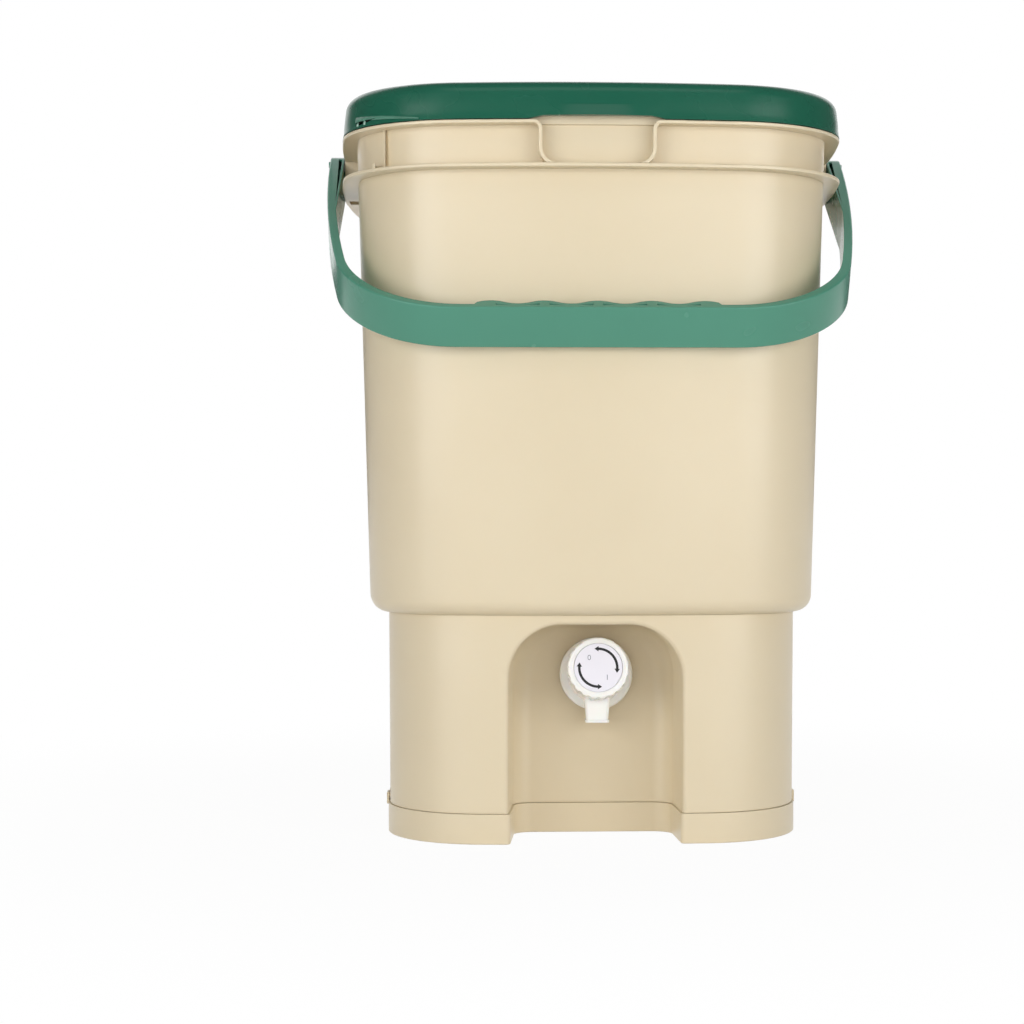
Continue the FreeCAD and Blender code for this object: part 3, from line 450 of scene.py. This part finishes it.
def printed_dial():
    """Two turning arrows and the figures 0 and 1."""
    place = dial_place()
    black = printing_ink("black_ink", "#101014")
    grey = printing_ink("grey_ink", "#8E8E9A")
    dial_arrow("dial_arrow_right", ARROW_MIDDLE, black, place)
    dial_arrow("dial_arrow_left", ARROW_MIDDLE + 180, black, place)
    for text, turn in FIGURE_TURNS.items():
        dial_figure(text, turn, grey, place)


def lid_gate_mark(material):
    """Small raised ring left by the mould's gate in the middle of the lid's panel."""
    low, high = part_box("lid")
    centre = ((low.x + high.x) / 2, (low.y + high.y) / 2, high.z - PANEL_DEPTH * MM)
    deselect_all()
    bpy.ops.mesh.primitive_cylinder_add(vertices=48, radius=GATE_RADIUS * MM,
                                        depth=2 * GATE_HEIGHT * MM, location=centre)
    thing = bpy.context.object
    thing.name = "lid_gate_mark"
    select_faces(thing, lambda middle, normal: normal.z > 0.9)
    bpy.ops.mesh.inset(thickness=GATE_INSET * MM)
    bpy.ops.mesh.extrude_region()
    bpy.ops.transform.translate(value=(0, 0, -GATE_DIMPLE_SHARE * GATE_HEIGHT * MM))
    bpy.ops.object.mode_set(mode="OBJECT")
    bevel = thing.modifiers.new("soft_edges", "BEVEL")
    bevel.width = GATE_SOFT_EDGE * MM
    bevel.segments = 2
    bpy.ops.object.modifier_apply(modifier=bevel.name)
    settle(thing, Matrix.Identity(4))
    dress(thing, material)
    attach(thing, "lid")


def skirt_strip(name, left, right, proud, material):
    """Strip of the lid's skirt, grown outwards most at its lower edge.

    Both ends are given as X, lower depth and upper depth, in millimetres.
    """
    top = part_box("lid")[1].z
    thing = merged_copy("lid", name)
    # cut away all that lies outside the strip's four edges, seen from the front
    corners = [Vector((x * MM, 0, top - depth * MM))
               for x, depth in ((left[0], left[1]), (right[0], right[1]),
                                (right[0], right[2]), (left[0], left[2]))]
    for index, corner in enumerate(corners):
        along = (corners[(index + 1) % 4] - corner).normalized()
        bpy.ops.mesh.select_all(action="SELECT")
        bpy.ops.mesh.bisect(plane_co=corner, plane_no=(-along.z, 0, along.x),
                            clear_inner=True, threshold=MERGE_DISTANCE)
    # of what is left, keep only the skirt's outer face
    select_faces(thing, lambda middle, normal: normal.y > -0.3)
    bpy.ops.mesh.delete(type="FACE")
    bpy.ops.object.mode_set(mode="OBJECT")
    front = min(face.center.y for face in thing.data.polygons)
    select_faces(thing, lambda middle, normal: middle.y == front)
    bpy.ops.mesh.select_linked()
    bpy.ops.mesh.select_all(action="INVERT")
    bpy.ops.mesh.delete(type="FACE")
    bpy.ops.object.mode_set(mode="OBJECT")
    taper_to_upper_edge(thing, corners, proud)
    dress(thing, material)
    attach(thing, "lid")


def taper_to_upper_edge(thing, corners, proud):
    """Give a strip its wall, thickest at its lower edge; corners run round from the lower left."""
    group = thing.vertex_groups.new(name="proud")
    for vertex in thing.data.vertices:
        share = (vertex.co.x - corners[0].x) / (corners[1].x - corners[0].x)
        bottom = corners[0].z + share * (corners[1].z - corners[0].z)
        top = corners[3].z + share * (corners[2].z - corners[3].z)
        weight = (top - vertex.co.z) / (top - bottom)
        group.add([vertex.index], min(max(weight, 0), 1), "REPLACE")
    wall = thing.modifiers.new("proud", "SOLIDIFY")
    wall.thickness = proud * MM
    wall.offset = 1
    wall.vertex_group = group.name
    wall.thickness_vertex_group = UPPER_EDGE_SHARE
    bpy.ops.object.modifier_apply(modifier=wall.name)
    thing.vertex_groups.clear()


def lid_tear_start():
    """Bridges in the slot of the tear strip, and the ledge that runs out above it, both drawn
    paler than the lid as painted highlights.
    """
    # the bridges are real posts; their pale colour is a painted highlight where they catch the
    # light
    bridge_highlight = painted_highlight_green("painted_highlight_green", "#A9CCBC")
    for number, (left, right) in enumerate(TEAR_BRIDGES, start=1):
        skirt_strip("lid_tear_bridge_%d" % number, (left, *TEAR_SLOT), (right, *TEAR_SLOT),
                    TEAR_BRIDGE_PROUD, bridge_highlight)
    # paler green ledge: painted highlight along the tear strip's upper edge
    ledge = painted_highlight_green("ledge_highlight_green", "#568975")
    skirt_strip("lid_tear_ledge", TEAR_LEDGE_LEFT, TEAR_LEDGE_RIGHT, TEAR_LEDGE_PROUD, ledge)


def seen_rays(tree, glossy_share):
    """How white a ray should see the backdrop: fully for camera and clear, in part for glossy."""
    rays = add_node(tree, "ShaderNodeLightPath")
    glossy = add_node(tree, "ShaderNodeMath", {0: rays.outputs["Is Glossy Ray"],
                                               1: glossy_share}, operation="MULTIPLY")
    seen = add_node(tree, "ShaderNodeMath", {0: rays.outputs["Is Camera Ray"],
                                             1: glossy.outputs[0]}, operation="MAXIMUM")
    return add_node(tree, "ShaderNodeMath", {0: seen.outputs[0],
                                             1: rays.outputs["Is Transmission Ray"]},
                    operation="MAXIMUM").outputs[0]


def studio_floor():
    """Pale floor that keeps a faint shadow close to the bin."""
    deselect_all()
    bpy.ops.mesh.primitive_plane_add(size=FLOOR_SIZE, location=(0, 0, 0))
    floor = bpy.context.object
    floor.name = "studio_floor"
    material, tree = new_material("pale_floor")
    matt = add_node(tree, "ShaderNodeBsdfDiffuse", {"Color": (0.9, 0.9, 0.9, 1)})
    place = add_node(tree, "ShaderNodeTexCoord").outputs["Object"]
    distance = add_node(tree, "ShaderNodeVectorMath", {0: place}, operation="LENGTH")
    share = add_node(tree, "ShaderNodeMapRange",
                     {"Value": distance.outputs["Value"], "From Min": FLOOR_NEAR,
                      "From Max": FLOOR_FAR, "To Min": FLOOR_NEAR_SHARE, "To Max": 1.0},
                     interpolation_type="SMOOTHSTEP")
    part = add_node(tree, "ShaderNodeMath", {0: seen_rays(tree, 1.0), 1: share.outputs[0]},
                    operation="MULTIPLY")
    white = add_node(tree, "ShaderNodeEmission", {"Color": (1, 1, 1, 1), "Strength": 1.0})
    mixed = add_node(tree, "ShaderNodeMixShader", {0: part.outputs[0], 1: matt.outputs[0],
                                                   2: white.outputs[0]})
    finish_material(tree, mixed.outputs[0])
    dress(floor, material)


def studio_world():
    """White tent: soft light that fades overhead, plain white where the camera sees it."""
    world = bpy.data.worlds.new("studio_world")
    bpy.context.scene.world = world
    world.use_nodes = True
    tree = world.node_tree
    tree.nodes.clear()
    direction = add_node(tree, "ShaderNodeTexCoord").outputs["Generated"]
    height = add_node(tree, "ShaderNodeSeparateXYZ", {"Vector": direction}).outputs["Z"]
    fade = add_node(tree, "ShaderNodeMapRange",
                    {"Value": height, "From Min": TENT_WALL_TOP, "From Max": TENT_ROOF_EDGE,
                     "To Min": TENT_WALL, "To Max": TENT_ROOF},
                    interpolation_type="SMOOTHSTEP")
    soft = add_node(tree, "ShaderNodeBackground", {"Color": (1, 1, 1, 1),
                                                   "Strength": fade.outputs[0]})
    white = add_node(tree, "ShaderNodeBackground", {"Color": (1, 1, 1, 1), "Strength": 1.0})
    mixed = add_node(tree, "ShaderNodeMixShader", {0: seen_rays(tree, GLOSSY_WHITE_SHARE),
                                                   1: soft.outputs[0], 2: white.outputs[0]})
    add_node(tree, "ShaderNodeOutputWorld", {"Surface": mixed.outputs[0]})


def studio_lamps():
    """Large soft lamps that look at the bin."""
    for name, place, width, height, power in LAMPS:
        data = bpy.data.lights.new(name, "AREA")
        data.shape = "RECTANGLE"
        data.size = width
        data.size_y = height
        data.energy = power
        lamp = bpy.data.objects.new(name, data)
        bpy.context.scene.collection.objects.link(lamp)
        lamp.location = place
        aim = Vector(LAMP_AIM) - Vector(place)
        lamp.rotation_euler = aim.to_track_quat("-Z", "Y").to_euler()


def photo_camera():
    """Camera at the photograph's place, turn and framing."""
    data = bpy.data.cameras.new("photo_camera")
    camera = bpy.data.objects.new("photo_camera", data)
    bpy.context.scene.collection.objects.link(camera)
    data.sensor_width = SENSOR_MM
    data.lens = FOCAL_PIXELS / FRAME_PIXELS * SENSOR_MM
    data.shift_x = (FRAME_PIXELS / 2 - CENTRE_PIXEL[0]) / FRAME_PIXELS
    data.shift_y = (CENTRE_PIXEL[1] - FRAME_PIXELS / 2) / FRAME_PIXELS
    low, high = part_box("bucket_collar")
    axis_y = (low.y + high.y) / 2
    camera.location = (-EYE_DISTANCE * math.sin(EYE_TURN),
                       axis_y - EYE_DISTANCE * math.cos(EYE_TURN), EYE_HEIGHT)
    camera.rotation_euler = (math.pi / 2, 0, -EYE_TURN)
    data.clip_start = 0.05
    data.clip_end = 50
    bpy.context.scene.camera = camera


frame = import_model()

beige = beige_polypropylene()
lid_green = bottle_green_polypropylene()
bail_green = sea_green_polypropylene()
white = white_polypropylene()
film = white_label_film()
rubber = black_rubber()

# the strips are cut from the lid's own mesh, so they come before its copy hides it
lid_tear_start()
for piece in ("bucket_base", "bucket_wall", "bucket_collar", "base_ring"):
    smooth_copy(piece, beige)
smooth_copy("drain_grate", beige)
smooth_copy("lid", lid_green)
smooth_copy("bail_handle", bail_green)
for piece in ("tap_body", "tap_knob", "tap_plug", "tap_lock_nut"):
    smooth_copy(piece, white)
smooth_copy("tap_dial_disc", film)
for piece in ("lid_gasket", "tap_o_ring", "tap_outer_washer", "tap_inner_washer"):
    smooth_copy(piece, rubber)
printed_dial()
lid_gate_mark(lid_green)

studio_floor()
studio_world()
studio_lamps()
photo_camera()
bpy.context.scene.view_settings.view_transform = "Standard"
